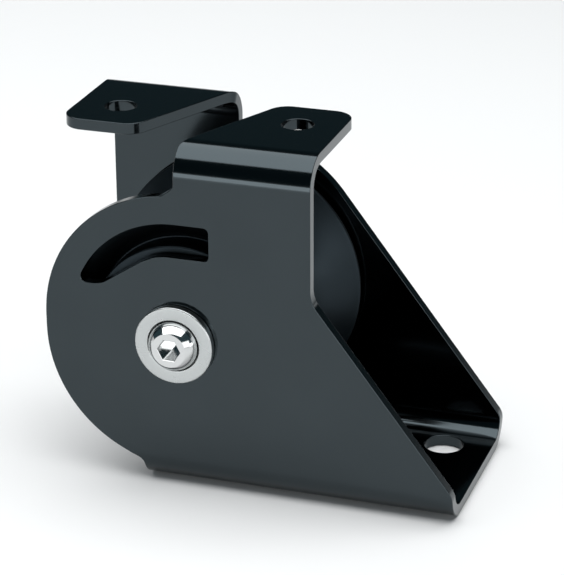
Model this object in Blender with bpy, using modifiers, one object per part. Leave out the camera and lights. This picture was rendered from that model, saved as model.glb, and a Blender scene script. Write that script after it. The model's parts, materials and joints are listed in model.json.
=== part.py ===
"""Over-the-top block: a wide sheave held in a bracket folded from one plate.

The plate stands on its floor. A cheek rises from each long side of the floor, and a bolting
flange folds inwards from the top of each cheek. A tubular axle spans the cheeks and carries
the sheave on a sleeve bearing, and a ring of captive balls on each side takes side load.

Frame: +X runs along the block from the round nose to the floor's free end, +Y from the near
cheek to the far cheek, +Z up. The origin is at the middle of the block's footprint, on the
ground.
"""

from math import acos, atan2, ceil, cos, pi, radians, sin, sqrt, tan

import bmesh
import bpy
import numpy as np
from mathutils import Matrix, Vector

MM = 0.001

# Plate and folds
PLATE = 3.2 * MM                 # thickness of the folded plate
BEND_OUTER = 9.0 * MM            # outside radius of all four folds
BEND_FACETS = 8                  # flat strips in each quarter-turn fold
BLOCK_WIDTH = 57.0 * MM          # over the outer faces of the cheeks
BLOCK_HEIGHT = 101.0 * MM        # ground to the flanges' top faces

# Cheek outline, measured from the axle's axis
AXLE_HEIGHT = 44.3 * MM          # axle axis above the ground
NOSE_RADIUS = 38.7 * MM          # round end, and the flanges' outer ends
NOSE_RISE = 3.9 * MM             # the nose's upper arc is centred this far above the axle
SLANT = radians(52.4)            # slope of the long edge below the horizontal
FLOOR_END = 79.2 * MM            # axle axis to the floor's free end
FLOOR_START = 10.8 * MM          # axle axis to the floor's other end, on the nose side
FLOOR_CORNER = 5.0 * MM          # rounding where the long edge meets the floor's end
HEEL_CORNER = 2.2 * MM           # rounding where the nose meets the floor
HEEL_RUN = 3.0 * MM              # the nose arc stops this far before the floor's edge
NECK_FILLET = 8.0 * MM           # inside corner under the near flange
NOTCH_HEIGHT = 2.5 * MM          # relief beside the neck, above the nose's top
NOTCH_WIDTH = 3.7 * MM
NOTCH_FILLET = 1.5 * MM

# Flanges
FLANGE_REACH = 42.5 * MM         # from a cheek's outer face to its flange's tip
FLANGE_SKEW = radians(24.1)      # angle of the rope gap across the block
FLANGE_TIP_INSET = 16.5 * MM     # axle plane to the skewed edge, at the flange's tip
FLANGE_CORNER = 6.2 * MM
FLANGE_ROOT_FILLET = 4.0 * MM
FLANGE_HOLE = 9.0 * MM           # bolt hole diameter
FLANGE_HOLE_X = 26.0 * MM        # either side of the axle plane

# Floor hole
FLOOR_HOLE = 11.3 * MM
FLOOR_HOLE_X = 65.5 * MM         # from the axle's axis
FLOOR_HOLE_Y = 13.7 * MM         # off the middle plane, towards the far cheek

# Curved window in the near cheek, concentric with the nose's upper arc
WINDOW_RADIUS = 30.7 * MM
WINDOW_WIDTH = 9.7 * MM
WINDOW_END = 9.8 * MM            # square end, past the axle plane
WINDOW_END_FILLET = 1.5 * MM
WINDOW_TIP_RISE = 10.6 * MM      # level of the tip's lower edge above the upper arc's centre
WINDOW_TIP_FILLET = 1.9 * MM
WINDOW_TIP_ANGLE = radians(26.0)
WINDOW_SLOPE = radians(33.4)     # the lower edge climbs at this angle to its level run
WINDOW_LEVEL_START = 6.5 * MM    # before the axle plane
WINDOW_SWEEP = 16.0 * MM         # rounding at the top of the slope
WINDOW_HEEL = 8.0 * MM           # rounding at the foot of the slope

# Sheave
SHEAVE_DIAMETER = 75.0 * MM
RIM_SIDE_GAP = 1.9 * MM          # rim's side face to the cheek
RIM_LIP = 1.2 * MM               # flat land outside the rope groove
RIM_ROUND = 0.5 * MM
GROOVE_FLOOR_RADIUS = 24.5 * MM
FLANK_WALL = 3.0 * MM            # rope groove to the side channel behind it
HUB_RADIUS = 26.6 * MM
HUB_SIDE_GAP = 1.2 * MM          # hub face to the cheek
HUB_CHAMFER = 0.5 * MM

# Axle, bearing and side races
AXLE_DIAMETER = 15.0 * MM
SLEEVE_WALL = 2.7 * MM
HUB_TUBE_WALL = 2.8 * MM
RACE_THICKNESS = 1.2 * MM
BALL_DIAMETER = 4.0 * MM
BALL_COUNT = 10                  # on each side
CAGE_WIDTH = 7.0 * MM            # radial
CAGE_THICKNESS = 2.4 * MM

# Button-head screws and recessed washers
SCREW_DIAMETER = 8.0 * MM
SCREW_REACH = 16.0 * MM          # length inside the axle
SCREW_CHAMFER = 0.8 * MM
HEAD_DIAMETER = 14.4 * MM
HEAD_FLAT = 9.9 * MM
HEAD_HEIGHT = 4.4 * MM
HEAD_LAND = 0.8 * MM             # straight edge below the dome
DOME_TURN = radians(38.0)        # how far the dome curves over from the edge to the flat
SOCKET_FLATS = 5.8 * MM
SOCKET_DEPTH = 6.5 * MM
SOCKET_TURN = radians(58.0)      # direction of a corner of the hexagon, from +X
WASHER_DIAMETER = 22.6 * MM
WASHER_THICKNESS = 2.3 * MM
WASHER_RECESS = 15.0 * MM
WASHER_RECESS_DEPTH = 1.2 * MM
WASHER_EDGE = 0.3 * MM

# Clearances and fineness
SEAT_GAP = 0.3 * MM              # between pieces that touch
RUN_GAP = 0.3 * MM               # radial, between pieces that turn on each other
CHORD_ERROR = 0.02 * MM          # how far a facet may cut into an arc of the plate's outline
TURNED_ERROR = 0.08 * MM         # the same for the profiles of turned pieces
TURNED_STEPS = 36                # facets round the small turned pieces
SHEAVE_STEPS = 48
POCKET_STEPS = 12                # facets round each ball's pocket
BALL_STEPS = 10                  # facets round each ball
BALL_RINGS = 6                   # facets from pole to pole of each ball
WELD_DISTANCE = 0.001 * MM       # points closer than this are one point
FOLD_SLACK = 0.01 * MM           # how far off a fold a point may lie and still belong to it
FLAT_ANGLE = radians(1.0)        # faces closer in angle than this are one flat face
SHARP_ANGLE = radians(30.0)      # edges sharper than this stay crisp

# Sizes that follow from the ones above
HALF_WIDTH = BLOCK_WIDTH / 2
CHEEK_INNER = HALF_WIDTH - PLATE
AXLE_X = (NOSE_RADIUS - FLOOR_END) / 2
BEND_LENGTH = (BEND_OUTER - PLATE / 2) * pi / 2
FLOOR_FLAT = HALF_WIDTH - BEND_OUTER
CHEEK_FOOT = FLOOR_FLAT + BEND_LENGTH
CHEEK_TOP = CHEEK_FOOT + BLOCK_HEIGHT - 2 * BEND_OUTER
FLANGE_ROOT = CHEEK_TOP + BEND_LENGTH
FLANGE_TIP = FLANGE_ROOT + FLANGE_REACH - BEND_OUTER
ARC_CENTRE = AXLE_HEIGHT + NOSE_RISE

AXLE_RADIUS = AXLE_DIAMETER / 2
AXLE_HALF_LENGTH = CHEEK_INNER - SEAT_GAP
RACE_OUTER_FACE = CHEEK_INNER - SEAT_GAP
RACE_INNER_FACE = RACE_OUTER_FACE - RACE_THICKNESS
HUB_FACE = CHEEK_INNER - HUB_SIDE_GAP
BORE_FACE = RACE_INNER_FACE - SEAT_GAP
SLEEVE_BORE = AXLE_RADIUS + RUN_GAP
SLEEVE_RADIUS = SLEEVE_BORE + SLEEVE_WALL
HUB_BORE = SLEEVE_RADIUS + SEAT_GAP
HUB_TUBE_RADIUS = HUB_BORE + HUB_TUBE_WALL
CAGE_BORE = HUB_TUBE_RADIUS + RUN_GAP
CAGE_RADIUS = CAGE_BORE + CAGE_WIDTH
POCKET_RADIUS = CAGE_RADIUS + RUN_GAP
BALL_RADIUS = BALL_DIAMETER / 2
BALL_RING = (CAGE_BORE + CAGE_RADIUS) / 2
BALL_PLANE = RACE_INNER_FACE - SEAT_GAP - BALL_RADIUS
POCKET_FLOOR = BALL_PLANE - BALL_RADIUS - SEAT_GAP

SCREW_RADIUS = SCREW_DIAMETER / 2
SCREW_HOLE_RADIUS = SCREW_RADIUS + SEAT_GAP
WASHER_FOOT = HALF_WIDTH + SEAT_GAP
WASHER_FACE = WASHER_FOOT + WASHER_THICKNESS
HEAD_FOOT = WASHER_FACE - WASHER_RECESS_DEPTH + SEAT_GAP

NEAR = -1
FAR = 1
SIDE_NAMES = {NEAR: "near", FAR: "far"}


def clear_scene():
    """Remove every object, so that the script starts from nothing."""
    for obj in list(bpy.data.objects):
        bpy.data.objects.remove(obj, do_unlink=True)


def new_collection(name):
    collection = bpy.data.collections.new(name)
    bpy.context.scene.collection.children.link(collection)
    return collection


def material(name, colour, roughness, metallic=0.0):
    """A plain Principled finish."""
    finish = bpy.data.materials.new(name)
    finish.use_nodes = True
    shader = finish.node_tree.nodes["Principled BSDF"]
    shader.inputs["Base Color"].default_value = (*colour, 1.0)
    shader.inputs["Roughness"].default_value = roughness
    shader.inputs["Metallic"].default_value = metallic
    return finish


def add_object(name, mesh, collection, finish=None):
    """Link a mesh object into a collection, shaded smooth with its sharp edges kept."""
    mesh.shade_smooth()
    mesh.set_sharp_from_angle(angle=SHARP_ANGLE)
    obj = bpy.data.objects.new(name, mesh)
    if finish:
        mesh.materials.append(finish)
    collection.objects.link(obj)
    return obj


def arc_points(centre, radius, start, end, error=CHORD_ERROR):
    """Points on an arc from angle start to angle end, close enough to keep the chord error."""
    step = 2 * acos(1 - min(error / radius, 0.5))
    count = max(1, ceil(abs(end - start) / step))
    angles = [start + (end - start) * i / count for i in range(count + 1)]
    return [(centre[0] + radius * cos(a), centre[1] + radius * sin(a)) for a in angles]


def rounded(before, corner, after, radius):
    """Points of the fillet that rounds a corner between two straight edges."""
    corner = Vector(corner)
    back = (Vector(before) - corner).normalized()
    ahead = (Vector(after) - corner).normalized()
    half = back.angle(ahead) / 2
    centre = corner + (back + ahead).normalized() * (radius / sin(half))
    run = radius / tan(half)
    first = corner + back * run - centre
    last = corner + ahead * run - centre
    start = atan2(first.y, first.x)
    turn = atan2(first.cross(last), first.dot(last))
    return arc_points(centre, radius, start, start + turn)


def rounded_outline(corners):
    """A closed outline from (x, y, radius) corners; radius 0 keeps the point as it is."""
    points = []
    count = len(corners)
    for i, (x, y, radius) in enumerate(corners):
        if radius:
            before = corners[i - 1][:2]
            after = corners[(i + 1) % count][:2]
            points += rounded(before, (x, y), after, radius)
        else:
            points.append((x, y))
    return points


def flat_v(height):
    """Place across the flat blank of a point on a cheek, from its height above the ground."""
    return CHEEK_FOOT + height - BEND_OUTER


def slant_height(x):
    """Height of the long slanted edge, which is tangent to the nose's upper arc."""
    return ARC_CENTRE + (NOSE_RADIUS - x * sin(SLANT)) / cos(SLANT)


def floor_corner():
    """Corner of the blank where the long edge meets the floor's free end."""
    return (FLOOR_END, flat_v(slant_height(FLOOR_END)), FLOOR_CORNER)


def neck_and_flange(outward):
    """Corners from the relief beside the neck, up and round the flange, to its outer end.

    outward is +1 where the flange lies on the free-end side of the axle, -1 on the nose side.
    """
    skew_run = FLANGE_TIP_INSET / tan(FLANGE_SKEW)
    return [
        (0.0, flat_v(ARC_CENTRE + NOSE_RADIUS + NOTCH_HEIGHT), NOTCH_FILLET),
        (0.0, FLANGE_TIP - skew_run, FLANGE_ROOT_FILLET),
        (outward * FLANGE_TIP_INSET, FLANGE_TIP, FLANGE_CORNER),
        (outward * NOSE_RADIUS, FLANGE_TIP, FLANGE_CORNER),
    ]


def nose_arc(centre_height, start, end):
    """Arc of the nose as blank corners, about the axle's axis or the upper centre."""
    centre = (0.0, flat_v(centre_height))
    return [(x, v, 0) for x, v in arc_points(centre, NOSE_RADIUS, start, end)]


def heel_corner():
    """Corner between the nose and the floor: the arc runs on straight to the floor's edge."""
    arc_x = FLOOR_START + HEEL_RUN
    drop = sqrt(NOSE_RADIUS ** 2 - arc_x ** 2)
    slope = arc_x / drop
    height = AXLE_HEIGHT - drop - HEEL_RUN * slope
    return (-FLOOR_START, flat_v(height), HEEL_CORNER)


def heel_angle():
    return pi + acos((FLOOR_START + HEEL_RUN) / NOSE_RADIUS)


def near_half():
    """Blank corners of the near cheek and flange, from the free end round to the nose."""
    notch_angle = pi - acos(NOTCH_WIDTH / NOSE_RADIUS)
    neck = neck_and_flange(FAR)
    neck.reverse()
    return [
        floor_corner(),
        (NOSE_RADIUS, flat_v(slant_height(NOSE_RADIUS)), NECK_FILLET),
        *neck,
        *nose_arc(ARC_CENTRE, notch_angle, pi),
        *nose_arc(AXLE_HEIGHT, pi, heel_angle()),
        heel_corner(),
    ]


def far_half():
    """Blank corners of the far cheek and flange, from the free end round to the nose."""
    notch_angle = acos(NOTCH_WIDTH / NOSE_RADIUS)
    return [
        floor_corner(),
        *nose_arc(ARC_CENTRE, pi / 2 - SLANT, notch_angle),
        *neck_and_flange(NEAR),
        *nose_arc(AXLE_HEIGHT, pi, heel_angle()),
        heel_corner(),
    ]


def blank_outline():
    """The whole flat blank: the near half is laid out at negative v, the far half at positive."""
    near = [(x, -v, radius) for x, v, radius in near_half()]
    far = far_half()
    far.reverse()
    return rounded_outline(near + far)


def circle(x, v, diameter):
    radius = diameter / 2
    return arc_points((x, v), radius, 0, 2 * pi)[:-1]


def window_outline():
    """Curved window: a level run, an arc about the upper centre, and a tip on the slope."""
    centre = flat_v(ARC_CENTRE)
    top = centre + WINDOW_RADIUS
    level = top - WINDOW_WIDTH
    foot = centre + WINDOW_TIP_RISE
    half_sweep = (pi / 2 - WINDOW_TIP_ANGLE) / 2
    shoulder = -WINDOW_RADIUS * tan(half_sweep)
    tip = shoulder - (top - foot) * tan(WINDOW_TIP_ANGLE)
    slope_foot = -WINDOW_LEVEL_START - (level - foot) / tan(WINDOW_SLOPE)
    corners = [
        (WINDOW_END, top, WINDOW_END_FILLET),
        (shoulder, top, WINDOW_RADIUS),
        (tip, foot, WINDOW_TIP_FILLET),
        (slope_foot, foot, WINDOW_HEEL),
        (-WINDOW_LEVEL_START, level, WINDOW_SWEEP),
        (WINDOW_END, level, WINDOW_END_FILLET),
    ]
    return [(x, -v) for x, v in rounded_outline(corners)]


def blank_holes():
    """Window, axle holes, flange bolt holes and the floor's bolt hole, in the flat blank."""
    axle_v = flat_v(AXLE_HEIGHT)
    flange_v = FLANGE_ROOT + HALF_WIDTH - BEND_OUTER
    holes = [window_outline(), circle(FLOOR_HOLE_X, FLOOR_HOLE_Y, FLOOR_HOLE)]
    for side in (NEAR, FAR):
        holes.append(circle(0.0, side * axle_v, 2 * SCREW_HOLE_RADIUS))
        holes.append(circle(-side * FLANGE_HOLE_X, side * flange_v, FLANGE_HOLE))
    return holes


def fold_stations():
    """Places across the blank where it bends, with the folded plate's outer and inner faces.

    Returns three arrays: v, then (y, z) on the outer face and (y, z) on the inner face.
    """
    v, outer, inner = [], [], []
    turns = np.linspace(0.0, pi / 2, BEND_FACETS + 1)
    fold_centre = HALF_WIDTH - BEND_OUTER
    folds = ((FLOOR_FLAT, BEND_OUTER, -pi / 2), (CHEEK_TOP, BLOCK_HEIGHT - BEND_OUTER, 0.0))
    for start, height, first in folds:
        for turn in turns:
            ray = np.array((cos(first + turn), sin(first + turn)))
            v.append(start + BEND_LENGTH * turn / (pi / 2))
            outer.append((fold_centre, height) + BEND_OUTER * ray)
            inner.append((fold_centre, height) + (BEND_OUTER - PLATE) * ray)
    tip = HALF_WIDTH - FLANGE_REACH
    v.append(FLANGE_TIP)
    outer.append(np.array((tip, BLOCK_HEIGHT)))
    inner.append(np.array((tip, BLOCK_HEIGHT - PLATE)))
    mirror = np.array((-1.0, 1.0))
    v = np.array(v)
    outer = np.array(outer)
    inner = np.array(inner)
    return (
        np.concatenate((-v[::-1], v)),
        np.concatenate((outer[::-1] * mirror, outer)),
        np.concatenate((inner[::-1] * mirror, inner)),
    )


def flat_blank():
    """The blank as cut from plate: a filled flat outline with its holes, given thickness."""
    curve = bpy.data.curves.new("blank", "CURVE")
    curve.dimensions = "2D"
    curve.fill_mode = "BOTH"
    curve.extrude = PLATE / 2
    for outline in [blank_outline(), *blank_holes()]:
        spline = curve.splines.new("POLY")
        spline.points.add(len(outline) - 1)
        spline.points.foreach_set("co", [c for x, v in outline for c in (x, v, 0.0, 1.0)])
        spline.use_cyclic_u = True
    guide = bpy.data.objects.new("blank", curve)
    bpy.context.scene.collection.objects.link(guide)
    evaluated = guide.evaluated_get(bpy.context.evaluated_depsgraph_get())
    mesh = bpy.data.meshes.new_from_object(evaluated)
    bpy.data.objects.remove(guide, do_unlink=True)
    return mesh


def fold(mesh):
    """Fold the blank: cut it at the bend stations, then move every point to its folded place."""
    stations, outer, inner = fold_stations()
    body = bmesh.new()
    body.from_mesh(mesh)
    bmesh.ops.remove_doubles(body, verts=body.verts, dist=WELD_DISTANCE)
    for station in stations[1:-1]:
        bmesh.ops.bisect_plane(
            body,
            geom=[*body.verts, *body.edges, *body.faces],
            dist=WELD_DISTANCE,
            plane_co=(0.0, station, 0.0),
            plane_no=(0.0, 1.0, 0.0),
        )
    in_fold = []
    for vert in body.verts:
        x, v, depth = vert.co
        share = 0.5 - depth / PLATE
        y_outer = np.interp(v, stations, outer[:, 0])
        z_outer = np.interp(v, stations, outer[:, 1])
        y_inner = np.interp(v, stations, inner[:, 0])
        z_inner = np.interp(v, stations, inner[:, 1])
        distance = abs(v)
        if FLOOR_FLAT - FOLD_SLACK < distance < CHEEK_FOOT + FOLD_SLACK:
            in_fold.append(vert)
        elif CHEEK_TOP - FOLD_SLACK < distance < FLANGE_ROOT + FOLD_SLACK:
            in_fold.append(vert)
        vert.co.y = y_outer * share + y_inner * (1 - share)
        vert.co.z = z_outer * share + z_inner * (1 - share)
    fold_edges = [e for e in body.edges if all(v in in_fold for v in e.verts)]
    bmesh.ops.dissolve_limit(
        body, angle_limit=FLAT_ANGLE, verts=in_fold, edges=fold_edges, use_dissolve_boundaries=False
    )
    bmesh.ops.recalc_face_normals(body, faces=body.faces)
    body.to_mesh(mesh)
    body.free()
    return mesh


def make_bracket(collection, finish):
    mesh = fold(flat_blank())
    mesh.name = "bracket"
    bracket = add_object("bracket", mesh, collection, finish)
    bracket.location = (AXLE_X, 0.0, 0.0)
    return bracket


def turned(name, profile, collection, finish, side=NEAR, closed=True, steps=TURNED_STEPS):
    """A piece turned about the axle's axis with a Screw modifier.

    profile holds (radius, distance from the middle plane), down the outer side first. The
    object's own +Z points out of the block, towards the near or the far side.
    """
    count = len(profile)
    edges = [(i, i + 1) for i in range(count - 1)]
    if closed:
        edges.append((count - 1, 0))
    mesh = bpy.data.meshes.new(name)
    mesh.from_pydata([(radius, 0.0, out) for radius, out in profile], edges, [])
    obj = add_object(name, mesh, collection, finish)
    obj.location = (AXLE_X, 0.0, AXLE_HEIGHT)
    obj.rotation_euler = (-side * pi / 2, 0.0, 0.0)
    screw = obj.modifiers.new("turn", "SCREW")
    screw.steps = steps
    screw.render_steps = steps
    screw.use_merge_vertices = True
    screw.merge_threshold = WELD_DISTANCE
    screw.use_smooth_shade = True
    return obj


def make_sheave(collection, finish):
    """Wide sheave: a circular rope groove, and a channel behind each flank, round the hub."""
    rim = SHEAVE_DIAMETER / 2
    rim_face = CHEEK_INNER - RIM_SIDE_GAP
    chord = rim_face - RIM_LIP
    depth = rim - GROOVE_FLOOR_RADIUS
    groove = (chord ** 2 + depth ** 2) / (2 * depth)
    centre = (GROOVE_FLOOR_RADIUS + groove, 0.0)
    back = groove + FLANK_WALL
    lip_angle = atan2(chord, centre[0] - rim)
    channel_start = atan2(rim_face, sqrt(back ** 2 - rim_face ** 2))
    channel_depth = sqrt(back ** 2 - (centre[0] - HUB_RADIUS) ** 2)
    channel_end = atan2(channel_depth, centre[0] - HUB_RADIUS)
    groove_points = arc_points(
        centre, groove, pi - lip_angle, pi + lip_angle, TURNED_ERROR
    )
    channel = arc_points(centre, back, pi - channel_end, pi - channel_start, TURNED_ERROR)
    half = [
        (HUB_BORE, BORE_FACE),
        (HUB_TUBE_RADIUS, BORE_FACE),
        (HUB_TUBE_RADIUS, POCKET_FLOOR),
        (POCKET_RADIUS, POCKET_FLOOR),
        (POCKET_RADIUS, HUB_FACE),
        (HUB_RADIUS - HUB_CHAMFER, HUB_FACE),
        (HUB_RADIUS, HUB_FACE - HUB_CHAMFER),
        *channel,
        (rim - RIM_ROUND, rim_face),
        (rim, rim_face - RIM_ROUND),
    ]
    mirrored = [(radius, -out) for radius, out in reversed(half)]
    profile = half + groove_points + mirrored
    return turned("sheave", profile, collection, finish, steps=SHEAVE_STEPS)


def make_axle(collection, finish):
    """Tubular axle, tapped at both ends for the screws."""
    ends = (AXLE_HALF_LENGTH, -AXLE_HALF_LENGTH)
    profile = [(AXLE_RADIUS, ends[0]), (AXLE_RADIUS, ends[1])]
    profile += [(SCREW_HOLE_RADIUS, ends[1]), (SCREW_HOLE_RADIUS, ends[0])]
    return turned("axle", profile, collection, finish)


def make_sleeve(collection, finish):
    """Sleeve bearing pressed in the sheave's bore, running on the axle."""
    profile = [(SLEEVE_RADIUS, BORE_FACE), (SLEEVE_RADIUS, -BORE_FACE)]
    profile += [(SLEEVE_BORE, -BORE_FACE), (SLEEVE_BORE, BORE_FACE)]
    return turned("sleeve_bearing", profile, collection, finish)


def make_race(side, collection, finish):
    """Flat side race between a cheek and its ring of balls, held on the axle."""
    bore = AXLE_RADIUS + SEAT_GAP
    profile = [(CAGE_RADIUS, RACE_OUTER_FACE), (CAGE_RADIUS, RACE_INNER_FACE)]
    profile += [(bore, RACE_INNER_FACE), (bore, RACE_OUTER_FACE)]
    return turned(SIDE_NAMES[side] + "_side_race", profile, collection, finish, side)


def ball_places():
    """Centres of one side's balls, in the cage's own frame."""
    angles = [2 * pi * i / BALL_COUNT for i in range(BALL_COUNT)]
    return [Vector((BALL_RING * cos(a), BALL_RING * sin(a), BALL_PLANE)) for a in angles]


def make_pocket_cutter(side, cutters):
    """One round hole through the cage for each ball."""
    body = bmesh.new()
    for place in ball_places():
        bmesh.ops.create_cone(
            body,
            cap_ends=True,
            segments=POCKET_STEPS,
            radius1=BALL_RADIUS + RUN_GAP,
            radius2=BALL_RADIUS + RUN_GAP,
            depth=2 * CAGE_THICKNESS,
            matrix=Matrix.Translation(place),
        )
    return make_cutter(SIDE_NAMES[side] + "_ball_pockets", body, cutters, side)


def make_cutter(name, body, cutters, side):
    """Turn a bmesh into a hidden cutter on the axle's axis."""
    mesh = bpy.data.meshes.new(name)
    body.to_mesh(mesh)
    body.free()
    cutter = bpy.data.objects.new(name, mesh)
    cutters.objects.link(cutter)
    cutter.location = (AXLE_X, 0.0, AXLE_HEIGHT)
    cutter.rotation_euler = (-side * pi / 2, 0.0, 0.0)
    cutter.hide_render = True
    cutter.display_type = "WIRE"
    return cutter


def cut(obj, cutter):
    boolean = obj.modifiers.new("cut", "BOOLEAN")
    boolean.operation = "DIFFERENCE"
    boolean.object = cutter


def make_ball_ring(side, collection, cutters, cage_finish, ball_finish):
    """Cage with a pocket for each ball, and the balls, which follow the cage."""
    name = SIDE_NAMES[side]
    top = BALL_PLANE + CAGE_THICKNESS / 2
    foot = BALL_PLANE - CAGE_THICKNESS / 2
    profile = [(CAGE_RADIUS, top), (CAGE_RADIUS, foot), (CAGE_BORE, foot), (CAGE_BORE, top)]
    cage = turned(name + "_ball_cage", profile, collection, cage_finish, side)
    cut(cage, make_pocket_cutter(side, cutters))
    for i, place in enumerate(ball_places(), start=1):
        body = bmesh.new()
        bmesh.ops.create_uvsphere(
            body, u_segments=BALL_STEPS, v_segments=BALL_RINGS, radius=BALL_RADIUS
        )
        mesh = bpy.data.meshes.new(f"{name}_ball_{i:02d}")
        body.to_mesh(mesh)
        body.free()
        ball = add_object(mesh.name, mesh, collection, ball_finish)
        ball.parent = cage
        ball.location = place
    return cage


def make_washer(side, collection, finish):
    """Bright washer with a recess that takes the screw's head."""
    radius = WASHER_DIAMETER / 2
    recess = WASHER_RECESS / 2
    seat = WASHER_FACE - WASHER_RECESS_DEPTH
    profile = [
        (radius - WASHER_EDGE, WASHER_FACE),
        (radius, WASHER_FACE - WASHER_EDGE),
        (radius, WASHER_FOOT),
        (SCREW_HOLE_RADIUS, WASHER_FOOT),
        (SCREW_HOLE_RADIUS, seat),
        (recess - WASHER_EDGE, seat),
        (recess, seat + WASHER_EDGE),
        (recess, WASHER_FACE - WASHER_EDGE),
        (recess + WASHER_EDGE, WASHER_FACE),
    ]
    return turned(SIDE_NAMES[side] + "_washer", profile, collection, finish, side)


def make_screw(side, collection, cutters, finish):
    """Button-head screw with a hexagon socket.

    The dome is an arc from the head's straight edge to its flat. Its centre lies square to the
    middle of the chord between the two.
    """
    head = HEAD_DIAMETER / 2
    flat = HEAD_FLAT / 2
    top = HEAD_FOOT + HEAD_HEIGHT
    land = HEAD_FOOT + HEAD_LAND
    run, rise = head - flat, top - land
    chord = sqrt(run ** 2 + rise ** 2)
    dome_radius = chord / (2 * sin(DOME_TURN / 2))
    inset = dome_radius * cos(DOME_TURN / 2) / chord
    dome_centre = ((head + flat) / 2 - inset * rise, (top + land) / 2 - inset * run)
    tilt = atan2(run, rise)
    start, end = tilt + DOME_TURN / 2, tilt - DOME_TURN / 2
    tip = AXLE_HALF_LENGTH - SCREW_REACH
    profile = [
        (0.0, top),
        *arc_points(dome_centre, dome_radius, start, end, TURNED_ERROR),
        (head, HEAD_FOOT),
        (SCREW_RADIUS, HEAD_FOOT),
        (SCREW_RADIUS, tip + SCREW_CHAMFER),
        (SCREW_RADIUS - SCREW_CHAMFER, tip),
        (0.0, tip),
    ]
    name = SIDE_NAMES[side]
    screw = turned(name + "_screw", profile, collection, finish, side, closed=False)
    socket_radius = SOCKET_FLATS / 2 / cos(pi / 6)
    body = bmesh.new()
    bmesh.ops.create_cone(
        body,
        cap_ends=True,
        segments=6,
        radius1=socket_radius,
        radius2=socket_radius,
        depth=2 * SOCKET_DEPTH,
        matrix=Matrix.Translation((0.0, 0.0, top)) @ Matrix.Rotation(SOCKET_TURN - pi / 6, 4, "Z"),
    )
    cut(screw, make_cutter(name + "_socket", body, cutters, side))
    return screw


def build():
    clear_scene()
    parts = new_collection("over_the_top_block")
    cutters = new_collection("cutters")
    black_plate = material("black_plate", (0.035, 0.04, 0.045), 0.32, 0.6)
    black_sheave = material("black_sheave", (0.02, 0.022, 0.025), 0.35, 0.5)
    bright_steel = material("bright_steel", (0.72, 0.73, 0.73), 0.18, 1.0)
    axle_steel = material("axle_steel", (0.55, 0.56, 0.57), 0.3, 1.0)
    bearing_plastic = material("bearing_plastic", (0.55, 0.53, 0.46), 0.5)
    cage_plastic = material("cage_plastic", (0.05, 0.05, 0.05), 0.5)
    ball_plastic = material("ball_plastic", (0.85, 0.85, 0.82), 0.35)
    make_bracket(parts, black_plate)
    make_sheave(parts, black_sheave)
    make_sleeve(parts, bearing_plastic)
    make_axle(parts, axle_steel)
    for side in (NEAR, FAR):
        make_race(side, parts, axle_steel)
        make_ball_ring(side, parts, cutters, cage_plastic, ball_plastic)
        make_washer(side, parts, bright_steel)
        make_screw(side, parts, cutters, bright_steel)


build()
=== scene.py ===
# %% [markdown]
# This lesson dresses an over-the-top block, a piece of deck hardware that leads a line over a wide
# wheel, the sheave. The construction is already packed as a fixed frame: every piece has its true
# size and place there, and its axle and bearings turn. The script keeps that frame as it is, lays
# finely shaped surfaces over the pieces that show, and gives each piece its finish.

# %% Load the frame
import json
import math

import bpy
import numpy as np
from mathutils import Matrix, Vector, geometry


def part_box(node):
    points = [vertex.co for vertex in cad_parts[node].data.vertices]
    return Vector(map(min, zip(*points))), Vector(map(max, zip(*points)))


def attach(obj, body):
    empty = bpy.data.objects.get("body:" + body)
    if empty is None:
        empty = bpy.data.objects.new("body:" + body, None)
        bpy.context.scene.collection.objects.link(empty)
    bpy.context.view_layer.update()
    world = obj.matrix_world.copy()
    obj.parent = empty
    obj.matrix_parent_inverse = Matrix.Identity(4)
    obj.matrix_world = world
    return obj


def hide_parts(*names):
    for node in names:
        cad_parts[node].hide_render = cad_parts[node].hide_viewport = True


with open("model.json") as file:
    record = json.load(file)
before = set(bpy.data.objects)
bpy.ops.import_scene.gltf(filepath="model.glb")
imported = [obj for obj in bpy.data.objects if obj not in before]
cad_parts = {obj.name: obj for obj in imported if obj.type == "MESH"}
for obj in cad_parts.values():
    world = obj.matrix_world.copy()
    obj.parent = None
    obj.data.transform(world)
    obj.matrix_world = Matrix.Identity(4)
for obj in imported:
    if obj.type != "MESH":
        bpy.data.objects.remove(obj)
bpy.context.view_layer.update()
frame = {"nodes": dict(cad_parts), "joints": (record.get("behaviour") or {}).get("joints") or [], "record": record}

# %% [markdown]
# The overall sizes are read back from the frame, so that the surfaces follow it. What a box can't
# tell, such as a corner's radius, is a named value here. All lengths are metres, and MM makes them
# easy to read. Distances called x are measured along the block from the axle's axis.

# %% Sizes read from the frame
MM = 0.001

bracket_low, bracket_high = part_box("bracket")
AXLE = Vector(frame["joints"][0]["pos_m"])
HALF_WIDTH = bracket_high.y
BLOCK_HEIGHT = bracket_high.z
NOSE_RADIUS = AXLE.x - bracket_low.x
FLOOR_END = bracket_high.x - AXLE.x
print(f"axle at x {AXLE.x / MM:.2f} mm, z {AXLE.z / MM:.2f} mm, nose radius {NOSE_RADIUS / MM:.1f} mm")

# %% Named sizes of the folded plate
PLATE = 3.2 * MM                   # thickness
FOLD_OUTER = 9.0 * MM              # outside radius of all four folds
FOLD_STEPS = 16                    # strips across each fold
EDGE_ROUND = 0.22 * MM             # the deburred edge
EDGE_STEPS = 4

NOSE_RISE = 3.9 * MM               # the nose's upper arc is centred this far above the axle
SLANT = math.radians(52.4)         # slope of the long edge below the horizontal
FLOOR_START = 10.8 * MM            # axle axis to the floor's edge on the nose side
FLOOR_CORNER = 5.0 * MM
HEEL_CORNER = 2.2 * MM
HEEL_RUN = 3.0 * MM                # the nose arc runs on straight for this far
NECK_FILLET = 8.0 * MM
NOTCH_HEIGHT = 2.5 * MM            # relief beside the neck
NOTCH_WIDTH = 3.7 * MM
NOTCH_FILLET = 1.5 * MM

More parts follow.
